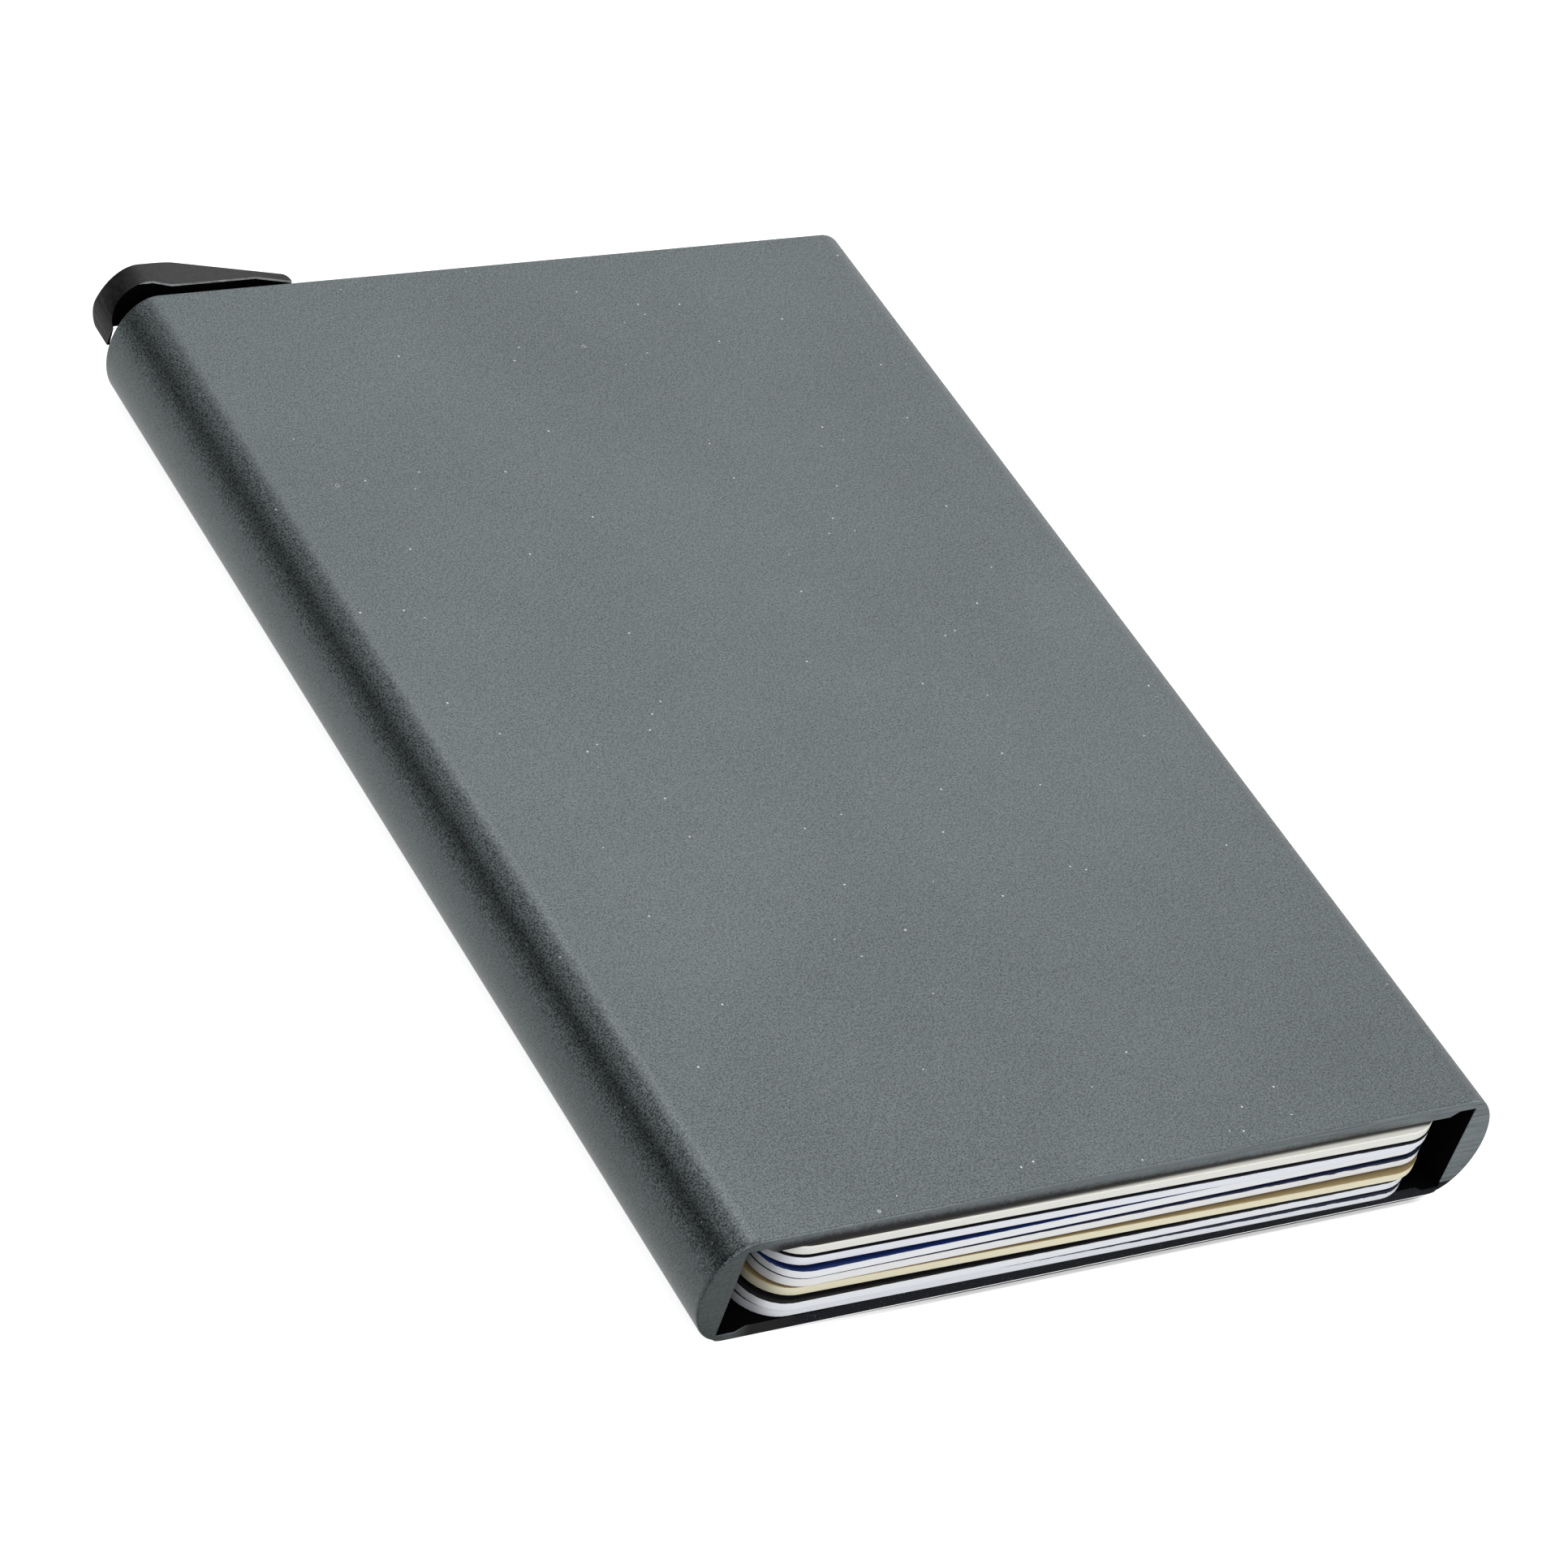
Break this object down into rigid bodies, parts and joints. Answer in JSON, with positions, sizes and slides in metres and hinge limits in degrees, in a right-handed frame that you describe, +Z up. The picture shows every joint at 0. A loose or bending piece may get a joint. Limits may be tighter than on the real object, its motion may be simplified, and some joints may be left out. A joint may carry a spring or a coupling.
{
  "type": "pop-up card holder",
  "caption": "Flat metal sleeve for bank cards with a corner lever whose stepped inner arm pushes the cards out of the open end as a fan.",
  "frame": {"origin": "middle of the sleeve's flat underside", "axes": "+Z up through the thin side, -Y towards the open mouth where the cards come out, +Y towards the lever end, +X to the right when looking from the mouth towards the lever end"},
  "size_m": [0.063, 0.1, 0.0093],
  "materials": {
    "anodised_aluminium": "bead-blasted and anodised, matte grey",
    "black_nylon": "moulded, matte",
    "black_lever": "moulded, satin",
    "steel": "ground",
    "black_velour": "short pile",
    "black_foam": "closed-cell foam",
    "card_white": "laminated",
    "card_cream": "laminated",
    "card_blue_white": "laminated",
    "card_ivory": "laminated"
  },
  "bodies": {
    "case": {"case_sleeve": "anodised_aluminium", "end_cap": "black_nylon", "pivot_pin": "steel", "brake_velour_left": "black_velour", "brake_velour_right": "black_velour", "brake_foam_left": "black_foam", "brake_foam_right": "black_foam"},
    "lever": {"ejector_lever": "black_lever"},
    "card_1": {"card_1": "card_white"},
    "card_2": {"card_2": "card_white"},
    "card_3": {"card_3": "card_cream"},
    "card_4": {"card_4": "card_white"},
    "card_5": {"card_5": "card_white"},
    "card_6": {"card_6": "card_blue_white"},
    "card_7": {"card_7": "card_ivory"}
  },
  "joints": [
    {"name": "lever_turn", "type": "hinge", "parent": "case", "child": "lever", "pos_m": [-0.0155, 0.04345, 0.0046], "axis": [0, 0, -1], "range_deg": [0, 32]},
    {"name": "card_1_slide", "type": "slide", "parent": "case", "child": "card_1", "axis": [0, -1, 0], "range_m": [0, 0.0218]},
    {"name": "card_2_slide", "type": "slide", "parent": "case", "child": "card_2", "axis": [0, -1, 0], "range_m": [0, 0.0188]},
    {"name": "card_3_slide", "type": "slide", "parent": "case", "child": "card_3", "axis": [0, -1, 0], "range_m": [0, 0.0158]},
    {"name": "card_4_slide", "type": "slide", "parent": "case", "child": "card_4", "axis": [0, -1, 0], "range_m": [0, 0.0128]},
    {"name": "card_5_slide", "type": "slide", "parent": "case", "child": "card_5", "axis": [0, -1, 0], "range_m": [0, 0.0098]},
    {"name": "card_6_slide", "type": "slide", "parent": "case", "child": "card_6", "axis": [0, -1, 0], "range_m": [0, 0.0068]},
    {"name": "card_7_slide", "type": "slide", "parent": "case", "child": "card_7", "axis": [0, -1, 0], "range_m": [0, 0.0038]}
  ],
  "couplings": [
    {"joint": "card_1_slide", "follows": "lever_turn", "m_per_rad": 0.0388},
    {"joint": "card_2_slide", "follows": "lever_turn", "m_per_rad": 0.033465},
    {"joint": "card_3_slide", "follows": "lever_turn", "m_per_rad": 0.02813},
    {"joint": "card_4_slide", "follows": "lever_turn", "m_per_rad": 0.022795},
    {"joint": "card_5_slide", "follows": "lever_turn", "m_per_rad": 0.01746},
    {"joint": "card_6_slide", "follows": "lever_turn", "m_per_rad": 0.012125},
    {"joint": "card_7_slide", "follows": "lever_turn", "m_per_rad": 0.00679}
  ]
}
